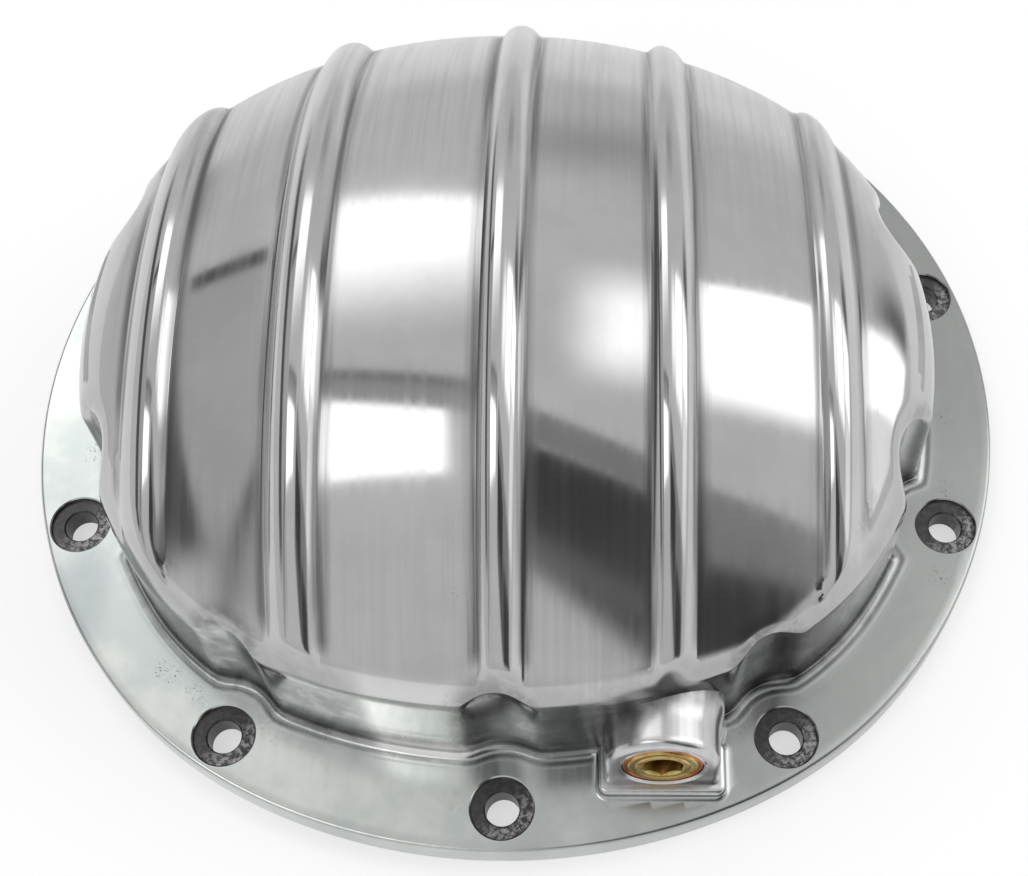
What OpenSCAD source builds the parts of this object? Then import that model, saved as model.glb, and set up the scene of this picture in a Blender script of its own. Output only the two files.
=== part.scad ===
// Cast differential cover with five ribs over its domed roof, ten bolt holes in its flange,
// and a screwed drain plug in a boss low on the front wall.
// The gasket face lies on z = 0, the dome points up, and the plug faces -Y.

/* [Flange] */
// Thickness of the flange
flange_t = 9; // [8:0.5:12]
// Half of the flange's width, from left to right
flange_half_w = 140; // [138:0.5:143]
// Half of the flange's length, from front to back
flange_half_l = 132.7; // [131:0.1:135]
// Radius of the flange's outline at the left and right
flange_side_r = 133.8; // [130:0.1:137]
// Radius of the flange's outline at the front and back
flange_end_r = 158; // [150:1:165]
// Width of the broken edge around the flange's top
flange_edge = 1.2; // [0.5:0.1:2]

/* [Bolt holes] */
// Radius of a bolt hole
bolt_hole_r = 4.55; // [4:0.05:5.5]
// Radius of the spotface around a bolt hole
spotface_r = 8.4; // [7:0.1:9]
// Depth of a spotface
spotface_d = 1.2; // [0.5:0.1:2]
// Distance of the front and back holes from the flange's edge
end_hole_in = 11.8; // [11:0.1:13]
// Distance of the four corner holes from the flange's edge
corner_hole_in = 10.6; // [10:0.1:11.5]
// Angle of the four corner holes, up from the left-right line
corner_hole_a = 53.3; // [52.5:0.1:54]
// Distance of the four side holes from the flange's edge
side_hole_in = 10; // [9.5:0.1:11]
// Angle of the four side holes, up from the left-right line
side_hole_a = 17.4; // [16.5:0.1:18.5]

/* [Wall] */
// Half of the dome's width at the foot of its wall
wall_half_w = 118.9; // [117:0.1:120]
// Half of the dome's length at the foot of its wall
wall_half_l = 106.6; // [105:0.1:107.5]
// Radius of the wall at the left and right
wall_side_r = 112.7; // [110:0.1:115]
// Radius of the wall at the front and back
wall_end_r = 172; // [160:1:180]
// Thickness of the wall
wall_t = 5.5; // [4:0.5:6]
// How far the wall leans in over its height
wall_draft = 1.2; // [0.6:0.1:2]
// Height and width of the sloped foot where the wall meets the flange
foot = 3; // [1.5:0.5:4]
// Height of the front and back walls above the flange
end_wall_h = 31; // [29:0.5:33]
// Height of the left and right walls above the flange
side_wall_h = 34; // [32:0.5:36]
// Steepness of the shoulder between wall and roof
shoulder_a = 65; // [60:1:70]
// Radius of the hollow in the wall around each bolt hole
scallop_r = 16; // [15:0.5:17]

/* [Roof] */
// Height of the roof's crown above the flange
roof_h = 86; // [82:0.5:90]
// Radius of the roof from front to back
roof_long_r = 148.5; // [145:0.5:155]
// Radius of the roof from left to right
roof_cross_r = 196; // [185:1:205]
// Thickness of the roof
roof_t = 5.5; // [4:0.5:6]
// Sideways place of the crown
crown_x = -4; // [-5:0.5:0]
// Front-to-back place of the crown
crown_y = 1.5; // [0:0.5:3]

/* [Ribs] */
// Place of the leftmost rib
rib_a_x = -91; // [-93:0.5:-89]
// Place of the left rib
rib_b_x = -50; // [-52:0.5:-48]
// Place of the middle rib
rib_c_x = 1.5; // [0:0.5:3]
// Place of the right rib
rib_d_x = 44.5; // [43:0.5:46]
// Place of the rightmost rib
rib_e_x = 88; // [86:0.5:90]
// Bead radius of the two left ribs
rib_wide_r = 7; // [6.5:0.5:8]
// Bead radius of the other three ribs
rib_slim_r = 5.5; // [5:0.5:6]
// How far the two left ribs stand out of the roof
rib_wide_h = 4.6; // [4:0.1:5]
// How far the other three ribs stand out of the roof
rib_slim_h = 3.6; // [3:0.1:4]

/* [Plug boss] */
// Sideways place of the boss and its plug
boss_x = 42; // [40:0.5:44]
// Height of the plug's middle above the flange
boss_h = 14.5; // [14:0.5:16]
// Radius of the boss's arched top
boss_r = 15; // [14.5:0.5:16]
// Distance of the boss's front face from the middle
boss_front_y = 114.5; // [113.5:0.5:115.5]
// How far the front face leans back, in degrees
boss_lean = 4; // [2:0.5:5]
// Length of the boss, from its front face back into the wall
boss_l = 16.4; // [15:0.2:18]
// Width of the pad under the boss
pad_w = 33.5; // [32:0.5:36]
// Height of the pad under the boss
pad_h = 2.5; // [1.5:0.5:3]
// How far the pad stands out in front of the boss
pad_out = 3.4; // [2:0.2:4]

/* [Drain plug] */
// Radius of the plug's thread at the mouth of its hole
plug_r = 10.6; // [10:0.1:11]
// Length of the plug
plug_l = 11.5; // [10:0.5:12]
// Loss of radius over a millimetre of the tapered thread
plug_taper = 0.03125; // [0.02:0.00125:0.04]
// Room between the plug and its hole
plug_fit = 0.02; // [0.01:0.01:0.05]
// Distance across the flats of the hexagon socket
socket_af = 9.5; // [8:0.5:10]
// Depth of the hexagon socket
socket_d = 7; // [5:0.5:8]
// Width of the broken edges on the plug and at its hole
plug_edge = 0.9; // [0.5:0.1:1.2]

/* [Hidden] */
$fn = 96;
aluminium = [0.74, 0.75, 0.75];
yellow_zinc = [0.80, 0.60, 0.26];
// how far cutters run past the faces they open
over = 1;
// top of the drums that bound the dome, above every rib
drum_top = flange_t + roof_h + 2 * rib_wide_h;
// the roof is turned about an axis along X at this height
roof_axis_z = flange_t + roof_h - roof_long_r;
// half the length of the barrel that the roof is cut from
barrel_half_l = wall_half_w + 10;
// the bolt holes follow the flange's outline
side_arc_x = flange_half_w - flange_side_r;
end_arc_y = flange_end_r - flange_half_l;
end_hole_y = flange_half_l - end_hole_in;
corner_hole_x = (edge_at(corner_hole_a) - corner_hole_in) * cos(corner_hole_a);
corner_hole_y = (edge_at(corner_hole_a) - corner_hole_in) * sin(corner_hole_a);
side_hole_x = (edge_at(side_hole_a) - side_hole_in) * cos(side_hole_a);
side_hole_y = (edge_at(side_hole_a) - side_hole_in) * sin(side_hole_a);
// a little narrower than its arch, so that the flanks meet it at a corner
boss_flank = 0.97 * boss_r;
ribs = [
    [rib_a_x, rib_wide_r, rib_wide_h],
    [rib_b_x, rib_wide_r, rib_wide_h],
    [rib_c_x, rib_slim_r, rib_slim_h],
    [rib_d_x, rib_slim_r, rib_slim_h],
    [rib_e_x, rib_slim_r, rib_slim_h]
];

// How far the flange's edge is from the middle, at an angle from 0 to 90
function edge_at(a) = min(
    side_arc_x * cos(a) + sqrt(pow(flange_side_r, 2) - pow(side_arc_x * sin(a), 2)),
    sqrt(pow(flange_end_r, 2) - pow(end_arc_y * cos(a), 2)) - end_arc_y * sin(a)
);

// Puts what follows at each of the ten bolt holes
module at_bolt_holes() {
    for (s = [-1, 1]) {
        translate([0, s * end_hole_y, 0]) children();
        for (t = [-1, 1]) {
            translate([t * corner_hole_x, s * corner_hole_y, 0]) children();
            translate([t * side_hole_x, s * side_hole_y, 0]) children();
        }
    }
}

// Bounds an oval by four round drums: two joined side by side, cut by one for each end
module within_drums(half_w, half_l, side_r, end_r) {
    intersection() {
        union() {
            translate([half_w - side_r, 0, 0]) children(0);
            translate([side_r - half_w, 0, 0]) children(0);
        }
        translate([0, half_l - end_r, 0]) children(1);
        translate([0, end_r - half_l, 0]) children(1);
    }
}

module flange_drum(r) {
    rotate_extrude()
        polygon([
            [0, 0],
            [r, 0],
            [r, flange_t - flange_edge],
            [r - flange_edge, flange_t],
            [0, flange_t]
        ]);
}

module flange() {
    within_drums(flange_half_w, flange_half_l, flange_side_r, flange_end_r) {
        flange_drum(flange_side_r);
        flange_drum(flange_end_r);
    }
}

// One side of the dome's outside: sloped foot, leaning wall and steep shoulder
module outer_drum(r, wall_h) {
    rotate_extrude()
        polygon([
            [0, over],
            [r + foot, over],
            [r + foot, flange_t],
            [r, flange_t + foot],
            [r - wall_draft, flange_t + wall_h],
            [r - wall_draft - (drum_top - flange_t - wall_h) / tan(shoulder_a), drum_top],
            [0, drum_top]
        ]);
}

// The same for the hollow inside, set back by the wall's thickness and open below
module inner_drum(r, wall_h) {
    rotate_extrude()
        polygon([
            [0, -over],
            [r - wall_t, -over],
            [r - wall_t - wall_draft, flange_t + wall_h],
            [r - wall_t - wall_draft - (drum_top - flange_t - wall_h) / tan(shoulder_a), drum_top],
            [0, drum_top]
        ]);
}

// A barrel lying along X, whose upper side is the roof
module barrel(skin, with_ribs) {
    translate([crown_x, crown_y, roof_axis_z])
        rotate([0, 90, 0])
            rotate_extrude()
                intersection() {
                    union() {
                        translate([roof_long_r - roof_cross_r, 0]) circle(r = roof_cross_r - skin);
                        if (with_ribs)
                            for (rib = ribs) rib_bead(rib[0] - crown_x, rib[1], rib[2]);
                    }
                    translate([0, -barrel_half_l])
                        square([roof_long_r + rib_wide_h + over, 2 * barrel_half_l]);
                }
}

// The round section of one rib, at its place along the barrel
module rib_bead(x, r, h) {
    roof_r = roof_long_r - roof_cross_r + sqrt(pow(roof_cross_r, 2) - pow(x, 2));
    translate([roof_r + h - r, x]) circle(r = r);
}

module dome() {
    intersection() {
        barrel(0, true);
        within_drums(wall_half_w, wall_half_l, wall_side_r, wall_end_r) {
            outer_drum(wall_side_r, side_wall_h);
            outer_drum(wall_end_r, end_wall_h);
        }
    }
}

module hollow() {
    difference() {
        intersection() {
            barrel(roof_t, false);
            within_drums(wall_half_w, wall_half_l, wall_side_r, wall_end_r) {
                inner_drum(wall_side_r, side_wall_h);
                inner_drum(wall_end_r, end_wall_h);
            }
        }
        at_bolt_holes()
            translate([0, 0, -2 * over])
                cylinder(r = scallop_r + wall_t, h = drum_top);
    }
}

// The hollow around a bolt hole, with a sloped foot like the wall's
module scallop() {
    translate([0, 0, flange_t])
        cylinder(r1 = scallop_r - foot, r2 = scallop_r, h = foot);
    translate([0, 0, flange_t + foot])
        cylinder(r = scallop_r, h = drum_top);
}

// Turns Z to the plug's axis, with the boss's front face on z = 0 and its inside below
module at_plug() {
    translate([boss_x, -boss_front_y, flange_t + boss_h])
        rotate([90 - boss_lean, 0, 0])
            children();
}

module boss() {
    at_plug()
        translate([0, 0, -boss_l])
            linear_extrude(boss_l) {
                circle(r = boss_r);
                translate([-boss_flank, -boss_h - over])
                    square([2 * boss_flank, boss_h + over]);
            }
    translate([boss_x - pad_w / 2, -boss_front_y - pad_out, over])
        cube([pad_w, boss_l, flange_t - over + pad_h]);
}

// The plug's tapered hole, run right through into the hollow
module plug_hole() {
    hole_l = 2 * boss_l;
    at_plug() {
        translate([0, 0, -hole_l])
            cylinder(r1 = plug_r + plug_fit - plug_taper * hole_l, r2 = plug_r + plug_fit, h = hole_l);
        translate([0, 0, -plug_edge])
            cylinder(r1 = plug_r + plug_fit, r2 = plug_r + plug_fit + plug_edge + over, h = plug_edge + over);
    }
}

module cover() {
    color(aluminium)
        difference() {
            union() {
                flange();
                difference() {
                    dome();
                    at_bolt_holes() scallop();
                }
                boss();
            }
            hollow();
            plug_hole();
            at_bolt_holes() {
                translate([0, 0, -over]) cylinder(r = bolt_hole_r, h = flange_t + 2 * over);
                translate([0, 0, flange_t - spotface_d]) cylinder(r = spotface_r, h = foot + spotface_d);
            }
        }
}

module drain_plug() {
    face_r = plug_r - plug_edge * plug_taper;
    tail_r = plug_r - plug_taper * plug_l;
    color(yellow_zinc)
        at_plug()
            difference() {
                rotate_extrude()
                    polygon([
                        [0, -plug_l],
                        [tail_r - plug_edge, -plug_l],
                        [tail_r - plug_taper * plug_edge, -plug_l + plug_edge],
                        [face_r, -plug_edge],
                        [face_r - plug_edge, 0],
                        [0, 0]
                    ]);
                translate([0, 0, -socket_d])
                    cylinder(d = socket_af / cos(30), h = socket_d + over, $fn = 6);
            }
}

cover();
drain_plug();
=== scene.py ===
# Looks for a cast and polished differential cover and its drain plug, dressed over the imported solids.
# Lengths in the dictionaries are millimetres; the meshes are made in metres.
import math

import bpy
import numpy as np
from mathutils import Matrix, Vector


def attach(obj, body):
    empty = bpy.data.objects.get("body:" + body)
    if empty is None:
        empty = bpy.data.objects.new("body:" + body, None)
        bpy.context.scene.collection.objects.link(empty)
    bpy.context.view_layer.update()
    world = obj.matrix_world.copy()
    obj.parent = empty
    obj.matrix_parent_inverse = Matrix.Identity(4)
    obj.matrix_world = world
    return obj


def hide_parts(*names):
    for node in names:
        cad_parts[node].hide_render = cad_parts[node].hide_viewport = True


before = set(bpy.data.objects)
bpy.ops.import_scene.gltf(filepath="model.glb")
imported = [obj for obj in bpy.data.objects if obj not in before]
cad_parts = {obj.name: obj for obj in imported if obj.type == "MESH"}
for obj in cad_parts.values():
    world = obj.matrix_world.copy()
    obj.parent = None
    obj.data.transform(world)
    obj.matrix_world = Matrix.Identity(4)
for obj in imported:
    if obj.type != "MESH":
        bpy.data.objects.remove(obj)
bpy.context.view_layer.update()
mm = 0.001
print("the packed solids are loaded")


def deselectAll():
    if bpy.context.mode != "OBJECT":
        bpy.ops.object.mode_set(mode="OBJECT")
    bpy.ops.object.select_all(action="DESELECT")


def useOnly(piece):
    deselectAll()
    piece.select_set(True)
    bpy.context.view_layer.objects.active = piece


def joined(name, pieces):
    # one mesh from several, with the seams between them merged
    useOnly(pieces[0])
    for piece in pieces:
        piece.select_set(True)
    bpy.ops.object.join()
    whole = bpy.context.object
    whole.name = name
    bpy.ops.object.mode_set(mode="EDIT")
    bpy.ops.mesh.select_all(action="SELECT")
    bpy.ops.mesh.remove_doubles(threshold=0.000004)
    bpy.ops.mesh.dissolve_degenerate(threshold=0.000002)
    bpy.ops.mesh.normals_make_consistent(inside=False)
    bpy.ops.object.mode_set(mode="OBJECT")
    return whole


def cut(piece, tool, operation="DIFFERENCE"):
    useOnly(piece)
    step = piece.modifiers.new("cut", "BOOLEAN")
    step.operation = operation
    step.solver = "EXACT"
    step.object = tool
    bpy.ops.object.modifier_apply(modifier=step.name)
    useOnly(tool)
    bpy.ops.object.delete()


def placedGrid(name, columns, rows, place):
    # a flat grid whose corners are moved to where place(column, row) says
    deselectAll()
    bpy.ops.mesh.primitive_grid_add(x_subdivisions=columns, y_subdivisions=rows, size=2)
    sheet = bpy.context.object
    sheet.name = name
    flat = np.empty(len(sheet.data.vertices) * 3)
    sheet.data.vertices.foreach_get("co", flat)
    flat = flat.reshape(-1, 3)
    column = np.rint((flat[:, 0] + 1) / 2 * columns).astype(int)
    row = np.rint((flat[:, 1] + 1) / 2 * rows).astype(int)
    sheet.data.vertices.foreach_set("co", (place(column, row) * mm).ravel())
    sheet.data.update()
    return sheet


def turnedSolid(name, profile, segments, turn=Matrix.Identity(4)):
    # a closed round solid, drawn up through the rings of its profile as (radius, height)
    deselectAll()
    radius, height = profile[0]
    bpy.ops.mesh.primitive_circle_add(vertices=segments, radius=radius * mm, fill_type="NGON", location=(0, 0, height * mm))
    solid = bpy.context.object
    solid.name = name
    bpy.ops.object.transform_apply(location=True, rotation=False, scale=False)
    bpy.ops.object.mode_set(mode="EDIT")
    bpy.ops.mesh.select_all(action="SELECT")
    for nextRadius, nextHeight in profile[1:]:
        bpy.ops.mesh.extrude_region_move(TRANSFORM_OT_translate={"value": (0, 0, (nextHeight - height) * mm)})
        ratio = nextRadius / radius
        bpy.ops.transform.resize(value=(ratio, ratio, 1), center_override=(0, 0, nextHeight * mm))
        radius, height = nextRadius, nextHeight
    bpy.ops.mesh.select_all(action="SELECT")
    bpy.ops.mesh.normals_make_consistent(inside=False)
    bpy.ops.object.mode_set(mode="OBJECT")
    solid.data.transform(turn)
    return solid


def softMax(a, b, width):
    # the larger of two distances, rounded where they are nearly equal
    near = np.clip(width - np.abs(a - b), 0, None) / width
    return np.maximum(a, b) + near * near * width / 4


def smooth(low, high, value):
    t = np.clip((value - low) / (high - low), 0, 1)
    return t * t * (3 - 2 * t)


casting = {
    "flangeTop": 9.0,
    "flangeArcs": (6.2, 133.8, 25.3, 158.0),   # shift and radius of the side arcs, then of the end arcs
    "flangeEdge": 1.1,        # rounding of the flange's rim
    "wallArcs": (6.2, 112.7, 65.4, 172.0),
    "wallBlend": 8.0,         # softness where side and end arcs meet
    "scoopBlend": 1.8,        # softness where a hollow meets the wall
    "lean": 0.4,              # the wall leans in by this much
    "wallThick": 5.5,
    "hemEnds": 30.6,          # height of the hem above the flange, front and back
    "hemSides": 31.0,
    "hemRound": (4.6, 15.0),  # width of the shoulder between roof and wall, at the ends and at the sides
    "footRound": 2.5,
    "lipWide": 2.2,
    "lipHigh": 0.05,
    "roofAxis": -53.5,
    "roofLong": 148.5,
    "roofCross": 196.0,
    "crown": (-4.0, 1.5),
    "roofThick": 5.5,
    "ribBlend": 1.6,
    "ribFade": (0.2, 3.0),    # the ribs sink into the shoulder over this much from the hem
    "gridSplit": 98.0,        # the roof's grid has straight columns up to here
}
ribs = [(-91, 7, 4.5), (-50, 7, 4.5), (1.5, 5.5, 3.5), (44.5, 5.5, 3.5), (88, 5.5, 3.5)]   # place, bead radius, height
boltPlaces = [(t * x, s * y) for x, y in ((0, 120.9), (75.53, 101.34), (123.77, 38.79)) for s in (-1, 1) for t in (-1, 1) if x or t > 0]
# the hollow in the wall round each bolt: middle, radius, rounding of its upper edge
hollows = [(t * x, s * y, radius, edge) for x, y, radius, edge in ((0, 120.9, 17.2, 1.3), (75.53, 101.34, 16.0, 1.5), (120.4, 39.2, 16.0, 3.0))
           for s in (-1, 1) for t in (-1, 1) if x or t > 0]


def ovalGap(x, y, arcs, blend):
    # distance outside an oval of four arcs
    sideShift, sideRadius, endShift, endRadius = arcs
    side = np.hypot(np.abs(x) - sideShift, y) - sideRadius
    end = np.hypot(x, np.abs(y) + endShift) - endRadius
    return softMax(side, end, blend)


def flangeGap(x, y):
    return ovalGap(x, y, casting["flangeArcs"], 1.5)


def wallOval(x, y):
    return ovalGap(x, y, casting["wallArcs"], casting["wallBlend"])


def hollowGap(x, y):
    # how far inside the nearest bolt's hollow a point is
    return np.max([radius - np.hypot(x - hollowX, y - hollowY) for hollowX, hollowY, radius, edge in hollows], 0)


def hollowRim(x, y, skin):
    # the fall of the roof at the rounded upper edge of a hollow
    fall = 0
    for hollowX, hollowY, radius, edge in hollows:
        rim = np.clip(1 + (radius - np.hypot(x - hollowX, y - hollowY) + skin) / edge, 0, 1)
        fall = fall + edge * (1 - np.sqrt(1 - rim * rim))
    return fall


def wallGap(x, y):
    return softMax(wallOval(x, y), hollowGap(x, y), casting["scoopBlend"])


def outAlong(x, y, level, gap, straight=50.0):
    # the point on each ray where a gap reaches a level; the rays run along the middle ribs and fan out beyond them
    start = np.clip(x, -straight, straight)
    reach = np.hypot(x - start, y)
    stepX, stepY = (x - start) / reach, y / reach
    low, high = np.zeros_like(x), np.full_like(x, 150.0)
    for _ in range(44):
        middle = (low + high) / 2
        out = gap(start + stepX * middle, stepY * middle) > level
        low, high = np.where(out, low, middle), np.where(out, middle, high)
    return start + stepX * low, stepY * low


def roofHeight(x, y, skin=0.0, ribShare=1.0):
    long, cross = casting["roofLong"], casting["roofCross"]
    crownX, crownY = casting["crown"]
    bare = long - cross + np.sqrt((cross - skin) ** 2 - (x - crownX) ** 2)
    if skin == 0:
        for place, radius, high in ribs:
            across = np.minimum(np.abs(x - place), radius)
            bare = bare + softMax(high - radius + np.sqrt(radius ** 2 - across ** 2), 0, casting["ribBlend"]) * ribShare
    return casting["roofAxis"] + np.sqrt(bare ** 2 - (y - crownY) ** 2)


def roundOff(share):
    # the fall of a shoulder, from 0 on the roof to 1 at its hem
    return (1 - np.sqrt(np.clip(share, 0, 1))) ** 2


compass = np.linspace(-math.pi, math.pi, 1441)


def fallTable(skin):
    # how far the shoulder falls below the roof at the hem, all round
    hemX, hemY = outAlong(np.cos(compass), np.sin(compass), -casting["lean"] - skin, wallOval, 0.0)
    plain = casting["hemEnds"] + (casting["hemSides"] - casting["hemEnds"]) * np.cos(compass) ** 2
    return roofHeight(hemX, hemY, skin, 0) - casting["flangeTop"] - plain + (1 if skin else 0)


def hemWidth(x, y, skin):
    ends, sides = casting["hemRound"]
    return 6.0 if skin else ends + (sides - ends) * np.cos(np.arctan2(y, x)) ** 6


def skinHeight(x, y, skin=0.0):
    # the roof with its ribs, its shoulder and the rounded edges of the hollows
    inset = -wallOval(x, y) - casting["lean"] - skin
    if skin not in fallTables:
        fallTables[skin] = fallTable(skin)
    fall = np.interp(np.arctan2(y, x), compass, fallTables[skin])
    share = smooth(*casting["ribFade"], np.minimum(inset, -hollowGap(x, y)))
    return roofHeight(x, y, skin, share) - fall * roundOff(inset / hemWidth(x, y, skin)) - hollowRim(x, y, skin)


fallTables = {}


def shoulderGap(x, y, skin, inset):
    # zero on one ring of the shoulder, from 0 at the hem to 1 at the roof; the rings close up at the hollows
    return softMax(wallOval(x, y) + casting["lean"] + skin + hemWidth(x, y, skin) * inset, hollowGap(x, y) + skin + 2.4 * inset, casting["scoopBlend"])


def roofSkin(skin):
    # the columns and rows of one roof sheet and its outer loop
    split = casting["gridSplit"] - skin * 0.9
    # closer columns over the ribs
    fine = np.linspace(-split, split, 4001)
    crowd = np.full_like(fine, 1 / 2.0)
    for place, radius, high in ribs:
        crowd = np.maximum(crowd, np.where(np.abs(fine - place) < radius + 1.5, 1 / 0.95, 0))
    steps = np.concatenate([[0], np.cumsum((crowd[1:] + crowd[:-1]) / 2 * np.diff(fine))])
    columns = 150
    columnX = np.interp(np.linspace(0, steps[-1], columns + 1), steps, fine)
    rows = 84

    def edgeY(x):
        low, high = np.zeros_like(x), np.full_like(x, 106.0)
        for _ in range(44):
            middle = (low + high) / 2
            out = shoulderGap(x, middle, skin, 1) > 0
            low, high = np.where(out, low, middle), np.where(out, middle, high)
        return low

    def edgeX(y):
        low, high = np.full_like(y, split), np.full_like(y, 118.0)
        for _ in range(44):
            middle = (low + high) / 2
            out = shoulderGap(middle, y, skin, 1) > 0
            low, high = np.where(out, low, middle), np.where(out, middle, high)
        return low

    columnEdge = edgeY(columnX)
    rowShare = np.linspace(-1, 1, rows + 1)
    rowShare = np.sin(rowShare * math.pi / 2) * 0.35 + rowShare * 0.65   # rows a little closer near the ends
    capY = rowShare * columnEdge[0]
    capEdge = edgeX(capY)
    capEdge[0] = capEdge[-1] = split

    def middlePart(column, row):
        x = columnX[column]
        y = rowShare[row] * columnEdge[column]
        return np.stack([x, y, skinHeight(x, y, skin)], 1)

    capColumns = 14

    def capPart(side):
        def place(column, row):
            x = side * (split + (capEdge[row] - split) * column / capColumns)
            y = capY[row]
            return np.stack([x, y, skinHeight(x, y, skin)], 1)
        return place

    loopX = np.concatenate([columnX[::-1], -capEdge[::-1][1:], columnX[1:], capEdge[1:]])
    loopY = np.concatenate([columnEdge[::-1], capY[::-1][1:], -columnEdge[1:], capY[1:]])
    sheets = [
        placedGrid("roof", columns, rows, middlePart),
        placedGrid("roofLeft", capColumns, rows, capPart(-1)),
        placedGrid("roofRight", capColumns, rows, capPart(1)),
    ]
    return sheets, loopX, loopY


def castingBands(outX, outY, inX, inY):
    # the rings from the roof's hem down the wall, over the flange and up inside
    lean, blend = casting["lean"], casting["scoopBlend"]
    floor = casting["flangeTop"]
    rings = []

    def ring(x, y, gap, height):
        ringX, ringY = outAlong(x, y, 0, gap)
        z = height(ringX, ringY) if callable(height) else height + 0 * ringX
        rings.append(np.stack([ringX, ringY, z], 1))
        return rings[-1]

    def shoulder(x, y, skin, shares):
        for share in shares:
            ring(x, y, lambda a, b: shoulderGap(a, b, skin, share * share), lambda a, b: skinHeight(a, b, skin))

    shoulder(outX, outY, 0, np.linspace(1, 0, 17))
    hem = rings[-1][:, 2]
    wallFoot = floor + casting["footRound"]
    for t in np.linspace(0, 1, 9)[1:]:
        ring(outX, outY, lambda a, b: softMax(wallOval(a, b) + lean * (1 - t), hollowGap(a, b), blend), hem + (wallFoot - hem) * t)
    for turn in np.linspace(0, math.pi / 2, 7)[1:]:
        spread = casting["footRound"] * (1 - math.cos(turn))
        ring(outX, outY, lambda a, b: wallGap(a, b) - spread, floor + casting["footRound"] * (1 - math.sin(turn)))
    for t in np.linspace(0, 1, 7)[1:]:
        spread = casting["footRound"] + casting["lipWide"] * t
        ring(outX, outY, lambda a, b: wallGap(a, b) - spread, floor + casting["lipHigh"] * math.sin(math.pi * t) ** 2)
    near = rings[-1]
    edge = casting["flangeEdge"]
    farX, farY = outAlong(outX, outY, -edge, flangeGap)
    for t in np.linspace(0, 1, 9)[1:]:
        rings.append(np.stack([near[:, 0] + (farX - near[:, 0]) * t, near[:, 1] + (farY - near[:, 1]) * t, floor + 0 * farX], 1))
    for turn in np.linspace(0, math.pi / 2, 6)[1:]:
        ring(outX, outY, lambda a, b: flangeGap(a, b) + edge * (1 - math.sin(turn)), floor - edge * (1 - math.cos(turn)))
    for inset, z in ((0, 4.0), (0, 0.5), (0.5, 0)):
        under = ring(outX, outY, lambda a, b: flangeGap(a, b) + inset, z)
    thick = casting["wallThick"]
    mouthX, mouthY = outAlong(inX, inY, -thick + 0.4, wallGap)
    for t in (0.35, 0.7, 1):
        rings.append(np.stack([under[:, 0] + (mouthX - under[:, 0]) * t, under[:, 1] + (mouthY - under[:, 1]) * t, 0 * mouthX], 1))
    insideRings = len(rings)
    shoulder(inX, inY, thick, np.linspace(0, 1, 8))
    hem = rings[insideRings][:, 2]
    walls = []
    for t in np.linspace(0, 1, 7)[:-1]:
        ringX, ringY = outAlong(inX, inY, 0, lambda a, b: softMax(wallOval(a, b) + thick + lean * t, hollowGap(a, b) + thick, blend))
        walls.append(np.stack([ringX, ringY, 0.4 + (hem - 0.4) * t], 1))
    return rings[:insideRings] + walls + rings[insideRings:]


outSheets, outX, outY = roofSkin(0.0)
inSheets, inX, inY = roofSkin(casting["roofThick"])
rings = castingBands(outX, outY, inX, inY)
band = placedGrid("band", len(outX) - 1, len(rings) - 1, lambda column, row: np.array(rings)[row, column])
cover = joined("polishedCover", outSheets + inSheets + [band])
print("casting sheet:", len(cover.data.polygons), "faces")


plugSeat = {
    "place": (42.0, -114.5, 23.5),
    "lean": 4.0,              # the boss's face leans back by so many degrees
}
seatTurn = Matrix.Translation(Vector(plugSeat["place"]) * mm) @ Matrix.Rotation(math.radians(90 - plugSeat["lean"]), 4, "X")

boss = {
    "radius": 15.0,
    "flank": 14.6,
    "edge": 1.9,              # rounding round the front face
    "depth": 24.0,
    "flareFrom": 8.0,         # the sides open out towards the wall from here
    "flareDeep": 13.5,
    "flare": 1.5,
    "foot": 3.2,              # the flanks spread this much at the flange
    "footHigh": 4.5,
}


def bossSection(inset, deep):
    # one closed section across the boss, from its bottom right over the arch and back
    high = plugSeat["place"][2] - casting["flangeTop"]
    grow = boss["flare"] * smooth(boss["flareFrom"], boss["flareDeep"] + 3, deep) ** 1.3
    turn = np.linspace(0, math.pi, 41)
    radius = boss["radius"] - inset + grow
    arch = np.stack([radius * np.cos(turn), radius * np.sin(turn) - grow * 0.35], 1)
    drop = np.linspace(0, 1, 15)[1:]
    spread = np.clip((drop - 1) * high / boss["footHigh"] + 1, 0, 1) ** 2.2
    flankX = radius * (1 - 0.01 * drop) + boss["foot"] * spread
    flankZ = -drop * (high + 0.5)
    left = np.stack([-flankX, flankZ], 1)
    right = np.stack([flankX, flankZ], 1)[::-1]
    base = np.linspace(left[-1], right[0], 9)[1:]
    return np.concatenate([right, arch, left, base])


def closedLoft(name, sections, turn=Matrix.Identity(4)):
    # a closed solid through closed sections, whose first and last points are the same
    sections = np.array(sections)
    solid = placedGrid(name, sections.shape[1] - 1, sections.shape[0] - 1, lambda column, row: sections[row, column])
    solid.data.transform(turn)
    useOnly(solid)
    bpy.ops.object.mode_set(mode="EDIT")
    bpy.ops.mesh.select_all(action="SELECT")
    bpy.ops.mesh.remove_doubles(threshold=0.000004)
    bpy.ops.mesh.fill_holes(sides=0)
    bpy.ops.mesh.select_all(action="SELECT")
    bpy.ops.mesh.normals_make_consistent(inside=False)
    bpy.ops.object.mode_set(mode="OBJECT")
    return solid


def bossSections():
    edge = boss["edge"]
    sections = []
    for deep in [0, 0, 0.14, 0.55, 1.15, 1.9] + list(np.linspace(3, boss["depth"], 19)):
        inset = edge - math.sqrt(edge ** 2 - max(0, edge - deep) ** 2)
        if not sections:
            inset = edge + 0.4
        flat = bossSection(inset, deep)
        sections.append(np.stack([flat[:, 0], flat[:, 1], 0 * flat[:, 0] - deep], 1))
    return sections


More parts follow.
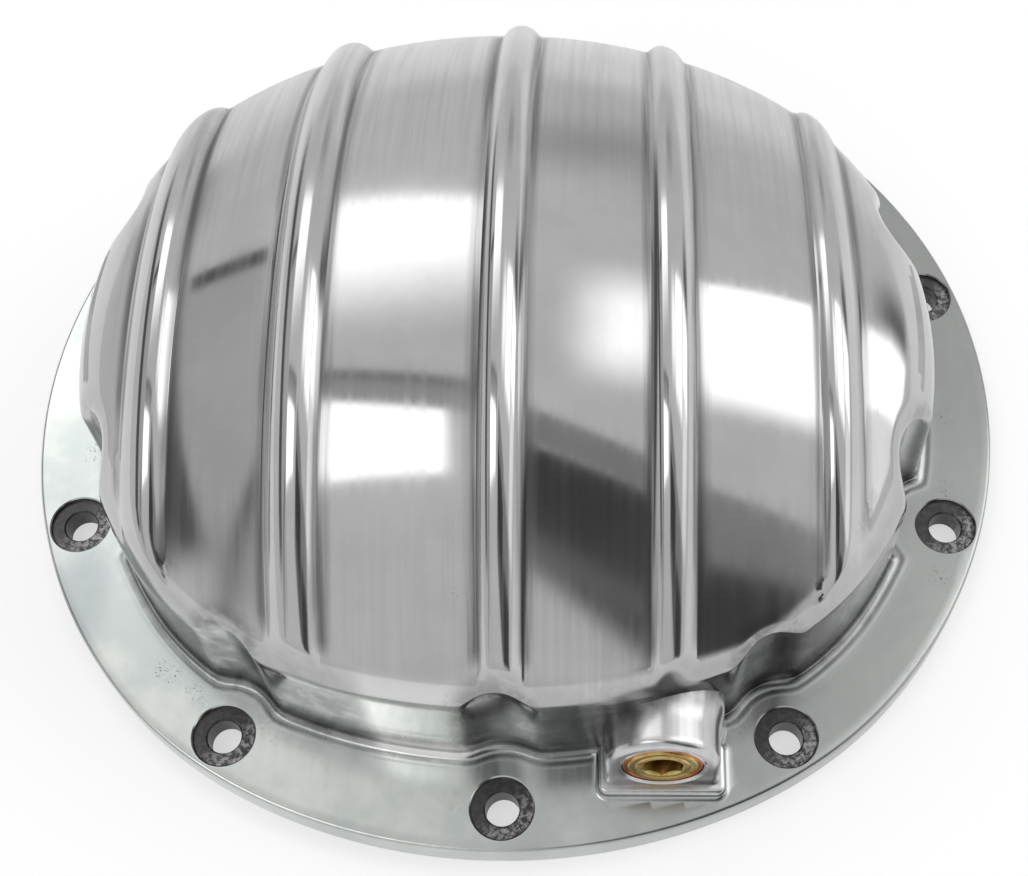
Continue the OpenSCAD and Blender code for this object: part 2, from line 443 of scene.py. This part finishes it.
def padRing(grow, z):
    # a rounded rectangle under the boss, let out by grow
    halfX, halfY, corner = pad["wide"] / 2 + grow, pad["long"] / 2 + grow, pad["corner"] + grow
    points = []
    for quarter, (sx, sy) in enumerate(((1, 1), (-1, 1), (-1, -1), (1, -1))):
        for turn in np.linspace(quarter, quarter + 1, 9) * math.pi / 2:
            points.append((sx * (halfX - corner) + corner * math.cos(turn), sy * (halfY - corner) + corner * math.sin(turn)))
    points.append(points[0])
    flat = np.array(points)
    middleY = plugSeat["place"][1] - pad["out"] + pad["long"] / 2
    return np.stack([flat[:, 0] + plugSeat["place"][0], flat[:, 1] + middleY, z + 0 * flat[:, 0]], 1)


pad = {
    "wide": 33.5,
    "long": 15.0,
    "out": 3.4,               # it stands out this far in front of the boss
    "high": 2.5,
    "corner": 2.6,
    "edge": 1.2,
    "foot": 1.6,
}
padTop = casting["flangeTop"] + pad["high"]
padSections = [padRing(pad["foot"], 5), padRing(pad["foot"], casting["flangeTop"] - 0.05)]
for turn in np.linspace(0, math.pi / 2, 6)[1:]:
    padSections.append(padRing(pad["foot"] * (1 - math.sin(turn)), casting["flangeTop"] + 1.1 * (1 - math.cos(turn))))
for turn in np.linspace(0, math.pi / 2, 6):
    padSections.append(padRing(-pad["edge"] * (1 - math.cos(turn)), padTop - pad["edge"] * (1 - math.sin(turn))))
bossShell = closedLoft("boss", bossSections(), seatTurn)
padShell = closedLoft("pad", padSections)
cut(cover, bossShell, "UNION")
cut(cover, padShell, "UNION")
print("boss and pad joined:", len(cover.data.polygons), "faces")


boltSeat = {
    "bore": 4.55,
    "face": 8.4,              # radius of the spotface
    "deep": 1.2,
    "rim": 0.35,              # bright broken edge round the spotface
}
seatZ = casting["flangeTop"] - boltSeat["deep"]
boltTool = turnedSolid("boltTool", [
    (boltSeat["bore"] + 0.5, -1), (boltSeat["bore"] + 0.5, 0), (boltSeat["bore"], 0.5), (boltSeat["bore"], seatZ - 0.4),
    (boltSeat["bore"] + 0.4, seatZ), (boltSeat["face"] - 0.2, seatZ), (boltSeat["face"], seatZ + 0.2),
    (boltSeat["face"], casting["flangeTop"] - boltSeat["rim"]), (boltSeat["face"] + boltSeat["rim"] + 0.05, casting["flangeTop"] + 0.05),
    (boltSeat["face"] + boltSeat["rim"] + 0.05, 14)], 64)
boltTools = []
for boltX, boltY in boltPlaces:
    tool = boltTool.copy()
    tool.data = boltTool.data.copy()
    tool.data.transform(Matrix.Translation((boltX * mm, boltY * mm, 0)))
    bpy.context.collection.objects.link(tool)
    boltTools.append(tool)
bpy.data.objects.remove(boltTool)
cut(cover, joined("boltTools", boltTools))

plug = {
    "radius": 10.6,
    "long": 11.5,
    "taper": 0.03125,
    "fit": 0.02,
    "across": 9.5,            # across the flats of its socket
    "socketDeep": 7.0,
}
mouth = plug["radius"] + plug["fit"]
threadTool = [(mouth - plug["taper"] * 30, -30)]
for deep in np.arange(11.2, 1.3, -1.4):
    ring = mouth - plug["taper"] * deep
    threadTool += [(ring, -deep), (ring + 0.35, -deep + 0.35), (ring + 0.35, -deep + 0.7), (ring, -deep + 1.05)]
threadTool += [(mouth - 0.03, -0.9), (mouth + 0.45, -0.45), (mouth + 0.95, -0.12), (mouth + 1.15, 0.02), (mouth + 1.4, 1)]
cut(cover, turnedSolid("threadTool", threadTool, 96, seatTurn))
useOnly(cover)
bpy.ops.object.mode_set(mode="EDIT")
bpy.ops.mesh.select_all(action="SELECT")
bpy.ops.mesh.remove_doubles(threshold=0.000003)
bpy.ops.object.mode_set(mode="OBJECT")
bpy.ops.object.shade_smooth_by_angle(angle=math.radians(32))
print("casting cut:", len(cover.data.polygons), "faces")

drainPlug = turnedSolid("yellowPlug", [
    (9.5, -11.5), (10.22, -10.7), (plug["radius"] - plug["taper"] * 1.1, -1.1), (10.35, -0.62), (10.0, -0.42), (9.85, -0.42),
    (9.65, -0.85), (9.3, -0.85), (9.12, -0.38), (8.8, -0.12), (7.6, -0.1), (7.3, -0.3), (7.05, -0.3), (6.8, -0.06), (6.4, -0.02)], 96, seatTurn)
flats = plug["across"] / 2
socketTool = turnedSolid("socketTool", [
    (flats / math.cos(math.pi / 6), -plug["socketDeep"]), (flats / math.cos(math.pi / 6), 1)], 6, seatTurn)
mouthTool = turnedSolid("mouthTool", [(flats - 0.3, -0.95), (flats + 1.0, 0.05), (flats + 1.0, 1)], 96, seatTurn)
cut(drainPlug, socketTool)
cut(drainPlug, mouthTool)
useOnly(drainPlug)
bevel = drainPlug.modifiers.new("soft edges", "BEVEL")
bevel.width, bevel.segments, bevel.limit_method, bevel.angle_limit = 0.0001, 2, "ANGLE", math.radians(40)
bpy.ops.object.modifier_apply(modifier=bevel.name)
bpy.ops.object.shade_smooth_by_angle(angle=math.radians(35))
print("plug:", len(drainPlug.data.polygons), "faces")


class Flow:
    # one shader socket; the operators add Math nodes
    def __init__(self, finish, socket):
        self.finish, self.socket = finish, socket

    def maths(self, operation, first, second=0.0):
        return self.finish.maths(operation, first, second)

    def __add__(self, other):
        return self.maths("ADD", self, other)

    def __sub__(self, other):
        return self.maths("SUBTRACT", self, other)

    def __rsub__(self, other):
        return self.maths("SUBTRACT", other, self)

    def __mul__(self, other):
        return self.maths("MULTIPLY", self, other)

    def __truediv__(self, other):
        return self.maths("DIVIDE", self, other)

    def __pow__(self, other):
        return self.maths("POWER", self, other)

    def larger(self, other):
        return self.maths("MAXIMUM", self, other)

    def smaller(self, other):
        return self.maths("MINIMUM", self, other)

    __radd__, __rmul__ = __add__, __mul__


class Finish:
    # one procedural material
    def __init__(self, name, colour):
        self.material = bpy.data.materials.new(name)
        self.material.use_nodes = True
        self.material.diffuse_color = (*colour, 1)
        self.tree = self.material.node_tree
        self.tree.nodes.clear()
        self.place = self.node("ShaderNodeTexCoord", out="Object")

    def node(self, kind, settings=None, sockets=None, out=0):
        made = self.tree.nodes.new(kind)
        for key, value in (settings or {}).items():
            if key == "stops":
                while len(made.color_ramp.elements) < len(value):
                    made.color_ramp.elements.new(0.5)
                for element, (at, colour) in zip(made.color_ramp.elements, value):
                    element.position, element.color = at, (*colour, 1)
            else:
                setattr(made, key, value)
        for key, value in (sockets or {}).items():
            if isinstance(value, Flow):
                self.tree.links.new(value.socket, made.inputs[key])
            else:
                made.inputs[key].default_value = value
        return Flow(self, made.outputs[out])

    def maths(self, operation, first, second=0.0):
        return self.node("ShaderNodeMath", {"operation": operation}, {0: first, 1: second})

    def blend(self, share, first, second):
        first = (*first, 1) if isinstance(first, tuple) else first
        second = (*second, 1) if isinstance(second, tuple) else second
        return self.node("ShaderNodeMix", {"data_type": "RGBA"}, {0: share, 6: first, 7: second}, out=2)

    def noise(self, size, detail=3.0, stretch=(1, 1, 1), shift=(0, 0, 0), rough=0.5, warp=0.0):
        # a pattern whose features are about size millimetres across
        where = self.node("ShaderNodeMapping", None, {"Vector": self.place, "Scale": tuple(1 / (size * mm * s) for s in stretch), "Location": shift})
        return self.node("ShaderNodeTexNoise", None, {"Vector": where, "Scale": 1.0, "Detail": detail, "Roughness": rough, "Distortion": warp})

    def ramp(self, value, low, high, toLow=0.0, toHigh=1.0):
        return self.node("ShaderNodeMapRange", {"interpolation_type": "SMOOTHSTEP"}, {"Value": value, "From Min": low, "From Max": high, "To Min": toLow, "To Max": toHigh})

    def painted(self, name):
        return self.node("ShaderNodeAttribute", {"attribute_name": name}, out="Fac")

    def bump(self, height, depth, strength=1.0, under=None):
        sockets = {"Height": height, "Distance": depth * mm, "Strength": strength}
        if under is not None:
            sockets["Normal"] = under
        return self.node("ShaderNodeBump", None, sockets)

    def metal(self, **sockets):
        names = {"colour": "Base Color", "metallic": "Metallic", "roughness": "Roughness", "normal": "Normal", "anisotropy": "Anisotropic"}
        shader = self.node("ShaderNodeBsdfPrincipled", None, {names[key]: (*value, 1) if isinstance(value, tuple) else value for key, value in sockets.items()})
        self.finishWith(shader)
        return self.material

    def finishWith(self, shader):
        end = self.tree.nodes.new("ShaderNodeOutputMaterial")
        self.tree.links.new(shader.socket, end.inputs["Surface"])


def paint(piece, name, values):
    layer = piece.data.attributes.new(name, "FLOAT", "POINT")
    layer.data.foreach_set("value", np.clip(values, 0, 1).astype(np.float32))


def points(piece):
    flat = np.empty(len(piece.data.vertices) * 3)
    piece.data.vertices.foreach_get("co", flat)
    return (flat.reshape(-1, 3) / mm).T


wearAndPaintedLight = {
    # x, y, half width, half length
    "pitted": [(127, -2, 3, 5), (126, -27, 2.5, 3), (121, -54, 3, 3), (126, -43, 2, 3), (-124, 9, 2.5, 3), (-123, -15, 2, 2.5), (-122, -41, 2.5, 3),
               (-93, -84, 3, 3), (-84, -90, 2, 2), (-11, -120, 2, 2), (-10, -106, 2, 2), (-9, -86, 1.5, 1.5), (63, -100, 2, 2), (-63, -100, 2, 2),
               (115, -79, 2, 2), (103, -88, 2, 2)],
    # how dark the front wall is painted from left to right
    "frontDarkness": [(-125, 0.45), (-112, 0.6), (-92, 0.65), (-75, 0.95), (-45, 0.95), (-39, 0.8), (-32, 0.08), (-12, 0.02), (-6, 0.5),
             (5, 0.85), (24, 0.85), (58, 0.85), (75, 0.9), (100, 0.75), (125, 0.75)],
    # a painted gold highlight on the wall of the front hollow: x, y, radius
    "golden": (9, -110.5, 5),
    "dulled": (-120, -60, 9, 20),
}
x, y, z = points(cover)
gap = wallGap(x, y)
onFlange = smooth(0.3, 2.5, gap) * (z < casting["flangeTop"] + 2.0)
boltGap = np.min([np.hypot(x - boltX, y - boltY) for boltX, boltY in boltPlaces], 0)
paint(cover, "flangePart", onFlange)
front = smooth(-20, -70, y)
# the wall is painted darker along the front by this table, by 0.45 elsewhere, and in a line along its foot
frontDarkness = np.interp(x, *np.array(wearAndPaintedLight["frontDarkness"]).T) * front + 0.45 * (1 - front)
wallPart = smooth(-5.5, -1.5, gap) * (1 - smooth(0, 5, gap)) * np.where(z < casting["flangeTop"] + casting["hemEnds"] + 1.5, 1, 0.35)
footLine = smooth(1.3, 0.2, np.abs(gap - 2.6)) * (z < casting["flangeTop"] + 1)
paint(cover, "wallTarnish", np.maximum(wallPart * frontDarkness, footLine * 0.6))
onBoss = smooth(24, 19, np.abs(x - plugSeat["place"][0])) * smooth(-96, -102, y) * (z > casting["flangeTop"] + 2)
# painted shade: the flange painted darker towards the right
paint(cover, "rightPart", smooth(-30, 105, x) * onFlange)
# painted reflection: the clean part of the front wall painted near white, the boss a little
paint(cover, "shine", np.maximum(wallPart * smooth(0.5, 0.1, frontDarkness) * front, onBoss * 0.15))
paint(cover, "satin", np.maximum(np.maximum(smooth(-5, 45, y), 0.5 * smooth(-50, -80, y)) * smooth(0, -6, gap), onBoss))
paint(cover, "hollowTarnish", smooth(22, 15, boltGap) * smooth(3, -1, gap) * smooth(-7, -3, gap))
ribSides = 0 * x
for place, radius, high in ribs:
    half = math.sqrt(radius ** 2 - (radius - high) ** 2)
    ribSides = np.maximum(ribSides, smooth(2.4, 0.4, np.abs(np.abs(x - place) - half - 1.0)))
paint(cover, "ribSides", ribSides * smooth(-4, -8, gap) * (z > 20))
pitted = 0 * x
for px, py, wide, long in wearAndPaintedLight["pitted"]:
    pitted = np.maximum(pitted, smooth(1.5, 0.5, np.hypot((x - px) / wide, (y - py) / long)))
paint(cover, "pitted", pitted)
px, py, wide, long = wearAndPaintedLight["dulled"]
paint(cover, "dulled", smooth(1.3, 0.3, np.hypot((x - px) / wide, (y - py) / long)) * onFlange)
goldX, goldY, goldWide = wearAndPaintedLight["golden"]
# painted gold highlight on the right of the front hollow
paint(cover, "golden", smooth(goldWide, 0, np.hypot(x - goldX, y - goldY)) * smooth(0.5, -0.5, gap) * (z > 14))
paint(cover, "seatLit", smooth(-4, 9, np.sum([(x - boltX - (y - boltY)) * (np.hypot(x - boltX, y - boltY) < 12) for boltX, boltY in boltPlaces], 0)))
plugX, plugY, plugZ = points(drainPlug)
lean = math.radians(plugSeat["lean"])
seatX, seatY, seatLift = plugSeat["place"]
inPlane = (plugZ - seatLift) * math.cos(lean) + (plugY - seatY) * math.sin(lean)
outward = (plugZ - seatLift) * math.sin(lean) - (plugY - seatY) * math.cos(lean)
plugGap = np.hypot(plugX - seatX, inPlane)
paint(drainPlug, "rimPart", smooth(9.0, 9.7, plugGap))
paint(drainPlug, "socketPart", smooth(6.4, 5.6, plugGap) * smooth(-0.3, -1.2, outward))


def polishedAluminium():
    look = Finish("polishedAluminium", (0.72, 0.73, 0.73))
    flange, wall, hollow = look.painted("flangePart"), look.painted("wallTarnish"), look.painted("hollowTarnish")
    side, pitted, golden = look.painted("ribSides"), look.painted("pitted"), look.painted("golden")
    shine, satin, dulled = look.painted("shine"), look.painted("satin"), look.painted("dulled")
    streak = look.noise(0.5, 2.0, (1, 60, 60))
    wide = look.noise(2.0, 3.0, (1, 40, 40), (3.1, 0.4, 0))
    cloud = look.noise(26, 4.0, (1, 1, 1), (0, 2, 5), 0.6)
    grain = look.noise(0.35, 2.0)
    patch = look.noise(7, 5.0, (1, 1, 1), (7, 0, 0), 0.6, 0.6)
    burnt = look.ramp(patch, 0.38, 0.60)
    # darkening: the wall painted darker by the table and along its foot, tarnish in the hollows, dark lines beside the
    # ribs
    tarnishAndDarkening = (wall * (0.70 + burnt * 0.30)).larger(hollow * (0.40 + burnt * 0.5)).larger(side * (0.40 + look.ramp(wide, 0.4, 0.6) * 0.45))
    pits = look.ramp(look.noise(0.55, 3.0, (1, 1, 1), (1, 9, 2), 0.7), 0.62, 0.68) * pitted * look.ramp(patch, 0.40, 0.55)
    dome = look.blend(look.ramp(cloud, 0.3, 0.7), (0.49, 0.49, 0.495), (0.54, 0.54, 0.545))
    rim = look.blend(look.ramp(cloud, 0.35, 0.65), (0.47, 0.505, 0.49), (0.59, 0.61, 0.59))
    # painted shade: the flange darker towards the right
    rim = look.blend(look.painted("rightPart") * 0.75, rim, (0.31, 0.315, 0.31))
    colour = look.blend(flange, dome, rim)
    colour = look.blend(satin * look.ramp(wide, 0.42, 0.62) * 0.35, colour, (0.40, 0.40, 0.405))
    # painted reflection: near white on the clean front wall, a little on the boss
    colour = look.blend(shine, colour, (0.84, 0.84, 0.82))
    colour = look.blend(dulled * 0.6, colour, (0.33, 0.36, 0.37))
    colour = look.blend(tarnishAndDarkening * 0.9, colour, (0.085, 0.085, 0.087))
    # painted gold highlight
    colour = look.blend(golden * look.ramp(patch, 0.35, 0.55), colour, (0.62, 0.50, 0.28))
    colour = look.blend(pits * 0.8, colour, (0.06, 0.06, 0.06))
    rough = 0.075 + look.ramp(wide, 0.3, 0.7) * 0.04 + flange * 0.11 + tarnishAndDarkening * 0.12 + satin * 0.13 + pits * 0.4
    normal = look.bump(streak * 0.3 + wide * 0.6, 0.004)
    normal = look.bump(grain * flange, 0.004, 1.0, normal)
    normal = look.bump(1 - pits, 0.25, 1.0, normal)
    return look.metal(colour=colour, metallic=1.0, roughness=rough, normal=normal)


def spotfacedIron():
    look = Finish("darkSpotface", (0.22, 0.22, 0.22))
    lit = look.painted("seatLit")
    patch = look.noise(1.6, 5.0, (1, 1, 1), (2, 3, 0), 0.65, 0.4)
    fine = look.noise(0.35, 3.0)
    mottle = look.ramp(patch * 0.7 + fine * 0.3, 0.44, 0.60) * (0.08 + lit * 0.8)
    colour = look.blend(mottle, (0.06, 0.058, 0.057), (0.40, 0.40, 0.40))
    normal = look.bump(patch + fine * 0.6, 0.05)
    return look.metal(colour=colour, metallic=0.85, roughness=0.28 + patch * 0.2, normal=normal)


def insideCasting():
    look = Finish("insideCasting", (0.52, 0.53, 0.53))
    lump = look.noise(1.1, 4.0, (1, 1, 1), (0, 0, 0), 0.6)
    stain = look.noise(30, 4.0)
    colour = look.blend(look.ramp(stain, 0.35, 0.65), (0.35, 0.36, 0.36), (0.47, 0.48, 0.48))
    return look.metal(colour=colour, metallic=0.85, roughness=0.48 + lump * 0.2, normal=look.bump(lump, 0.12))


def yellowZinc():
    look = Finish("yellowZinc", (0.66, 0.50, 0.20))
    rimPart, socket = look.painted("rimPart"), look.painted("socketPart")
    swirl = look.noise(3.2, 3.0, (1, 1, 1), (0, 0, 0), 0.5, 1.2)
    fine = look.noise(0.25, 3.0)
    gold = look.node("ShaderNodeValToRGB", {"stops": [
        (0.30, (0.42, 0.20, 0.06)), (0.44, (0.56, 0.37, 0.12)), (0.54, (0.64, 0.46, 0.17)), (0.64, (0.42, 0.42, 0.15)), (0.74, (0.52, 0.30, 0.16))]}, {"Fac": swirl})
    colour = look.blend(rimPart, gold, (0.52, 0.17, 0.06))
    colour = look.blend(socket * 0.95, colour, (0.10, 0.035, 0.015))
    return look.metal(colour=colour, metallic=1.0, roughness=0.22 + fine * 0.15, normal=look.bump(fine, 0.01))


# faces of the casting that have another finish
cover.data.materials.append(polishedAluminium())
cover.data.materials.append(spotfacedIron())
cover.data.materials.append(insideCasting())
faceMiddle = np.empty(len(cover.data.polygons) * 3)
cover.data.polygons.foreach_get("center", faceMiddle)
fx, fy, fz = (faceMiddle.reshape(-1, 3) / mm).T
normals = np.empty(len(cover.data.polygons) * 3)
cover.data.polygons.foreach_get("normal", normals)
nz = normals.reshape(-1, 3)[:, 2]
boltFace = np.min([np.hypot(fx - boltX, fy - boltY) for boltX, boltY in boltPlaces], 0)
which = np.zeros(len(fx), int)
which[(boltFace < boltSeat["face"] + 0.03) & (fz < casting["flangeTop"] + 0.2) & (fz > 0.02)] = 1
inner = wallGap(fx, fy) < -casting["wallThick"] + 0.7
underRoof = np.where(np.hypot(fx, fy) < 125, roofHeight(np.clip(fx, -110, 110), np.clip(fy, -104, 104), 0.0, 0) - fz > 2.2, False)
which[inner & underRoof & (fz > 0.01)] = 2
cover.data.polygons.foreach_set("material_index", which.astype(np.int32))
cover.data.update()
drainPlug.data.materials.append(yellowZinc())

for piece, node, slot in ((cover, "cover", "casting"), (drainPlug, "drain_plug", "plug")):
    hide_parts(node)
    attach(piece, "root")
print("finishes are on")


# the stage: a pale floor that looks white and keeps the shadow
class Room(Finish):
    # the world, wrapped as a finish is
    def __init__(self, name):
        self.material = bpy.data.worlds.new(name)
        self.material.use_nodes = True
        self.tree = self.material.node_tree
        self.tree.nodes.clear()
        self.place = self.node("ShaderNodeTexCoord", out="Generated")

    def finishWith(self, shader):
        end = self.tree.nodes.new("ShaderNodeOutputWorld")
        self.tree.links.new(shader.socket, end.inputs["Surface"])


def floorPaper():
    look = Finish("floorPaper", (0.93, 0.93, 0.93))
    plain = look.node("ShaderNodeBsdfDiffuse", None, {"Color": (0.90, 0.90, 0.90, 1)})
    white = look.node("ShaderNodeEmission", None, {"Color": (1, 1, 1, 1), "Strength": 1.25})
    seen = look.node("ShaderNodeLightPath", out="Is Camera Ray")
    seen = seen.larger(look.node("ShaderNodeLightPath", out="Is Glossy Ray")).larger(look.node("ShaderNodeLightPath", out="Is Transmission Ray"))
    look.finishWith(look.node("ShaderNodeMixShader", None, {0: seen * 0.45, 1: plain, 2: white}))
    return look.material


deselectAll()
bpy.ops.mesh.primitive_plane_add(size=8, location=(0, 0, -0.0002))
floor = bpy.context.object
floor.name = "floor"
floor.data.materials.append(floorPaper())

# the room: lit and dark patches on the sky, in the coordinates x/(1+z), y/(1+z) of a direction
room = {
    "walls": 0.78,
    "patches": [
        # left, right, softness; then height, slope and softness of the lower and the upper edge; strength
        ((-0.70, -0.565, 0.015), (-0.30, 0, 0.05), (1.20, 0, 0.10), 0.12),
        ((-0.565, -0.385, 0.010), (-0.45, 0, 0.05), (0.345, 0.03, 0.006), 0.60),
        ((-0.540, -0.385, 0.010), (0.340, 0.03, 0.012), (0.385, 0.03, 0.006), 0.14),
        ((-0.620, -0.405, 0.010), (0.56, 1.8, 0.03), (0.63, 1.8, 0.02), 0.12),
        ((-0.37, -0.045, 0.010), (0.21, 0, 0.13), (0.415, -0.17, 0.020), 2.2),
        ((-0.37, -0.045, 0.010), (-0.08, -0.2, 0.008), (-0.012, -0.2, 0.006), 0.46),
        ((-0.37, -0.045, 0.010), (-0.034, -0.2, 0.006), (-0.014, -0.2, 0.006), 0.30),
        ((-0.37, -0.088, 0.006), (-0.187, 0, 0.008), (-0.080, -0.2, 0.006), 2.3),
        ((0.00, 0.24, 0.05), (0.56, 0, 0.10), (0.72, 0, 0.08), 0.42),
        ((0.12, 0.27, 0.06), (0.03, 0, 0.06), (0.22, 0, 0.07), 2.0),
        ((0.01, 0.29, 0.010), (-0.115, -0.42, 0.02), (-0.042, -0.42, 0.006), 0.32),
        ((0.01, 0.29, 0.010), (-0.345, -0.95, 0.012), (-0.115, -0.42, 0.006), 0.07),
        ((0.01, 0.29, 0.030), (-0.340, -0.60, 0.03), (-0.285, -0.60, 0.02), 0.20),
        ((0.28, 0.585, 0.010), (0.00, 0, 0.04), (0.20, 0.20, 0.008), 2.3),
        ((0.30, 0.66, 0.010), (-0.42, -0.14, 0.04), (-0.118, -0.21, 0.008), 0.34),
        ((0.30, 0.68, 0.010), (-0.75, 0, 0.10), (-0.31, -0.14, 0.012), 0.07),
        ((0.615, 0.86, 0.010), (-0.25, 0, 0.03), (0.10, 0, 0.006), 1.30),
        ((0.615, 0.86, 0.010), (0.10, 0, 0.006), (0.32, 0, 0.025), 2.3),
        ((0.66, 0.86, 0.040), (0.36, 0, 0.03), (0.50, 0, 0.10), 0.16),
        ((-0.84, -0.74, 0.020), (0.72, 0, 0.05), (1.00, 0, 0.05), 1.7),
    ],
}


def makeRoom():
    look = Room("room")
    parts = [look.node("ShaderNodeSeparateXYZ", None, {0: look.place}, out=axis) for axis in (0, 1, 2)]
    below = (parts[2] + 1).larger(0.2)
    across, along = parts[0] / below, parts[1] / below
    light = across * 0.0 + room["walls"]
    for (left, right, soft), (low, lowSlope, lowSoft), (high, highSlope, highSoft), strength in room["patches"]:
        share = look.ramp(across, left - soft, left + soft) * look.ramp(across, right + soft, right - soft)
        share = share * look.ramp(along - across * lowSlope, low - lowSoft, low + lowSoft)
        share = share * look.ramp(along - across * highSlope, high + highSoft, high - highSoft)
        light = light * (1 - share) + share * strength
    look.finishWith(look.node("ShaderNodeBackground", None, {"Color": (1, 1, 1, 1), "Strength": light}))
    return look.material


bpy.context.scene.world = makeRoom()

camera = {
    "place": (0.030802, -0.244067, 0.441382),
    "turn": (28.3797, 0.5624, 0.3617),
    "lens": 58.584,
    "shift": (-0.08366, 0.0),
}
lens = bpy.data.cameras.new("camera")
lens.lens, lens.sensor_width, lens.sensor_fit = camera["lens"], 36, "HORIZONTAL"
lens.shift_x, lens.shift_y = camera["shift"]
lens.clip_start, lens.clip_end = 0.01, 30
eye = bpy.data.objects.new("camera", lens)
eye.location = camera["place"]
eye.rotation_euler = [math.radians(angle) for angle in camera["turn"]]
bpy.context.collection.objects.link(eye)
bpy.context.scene.camera = eye
bpy.context.scene.view_settings.view_transform = "Standard"

print("stage and camera are set")
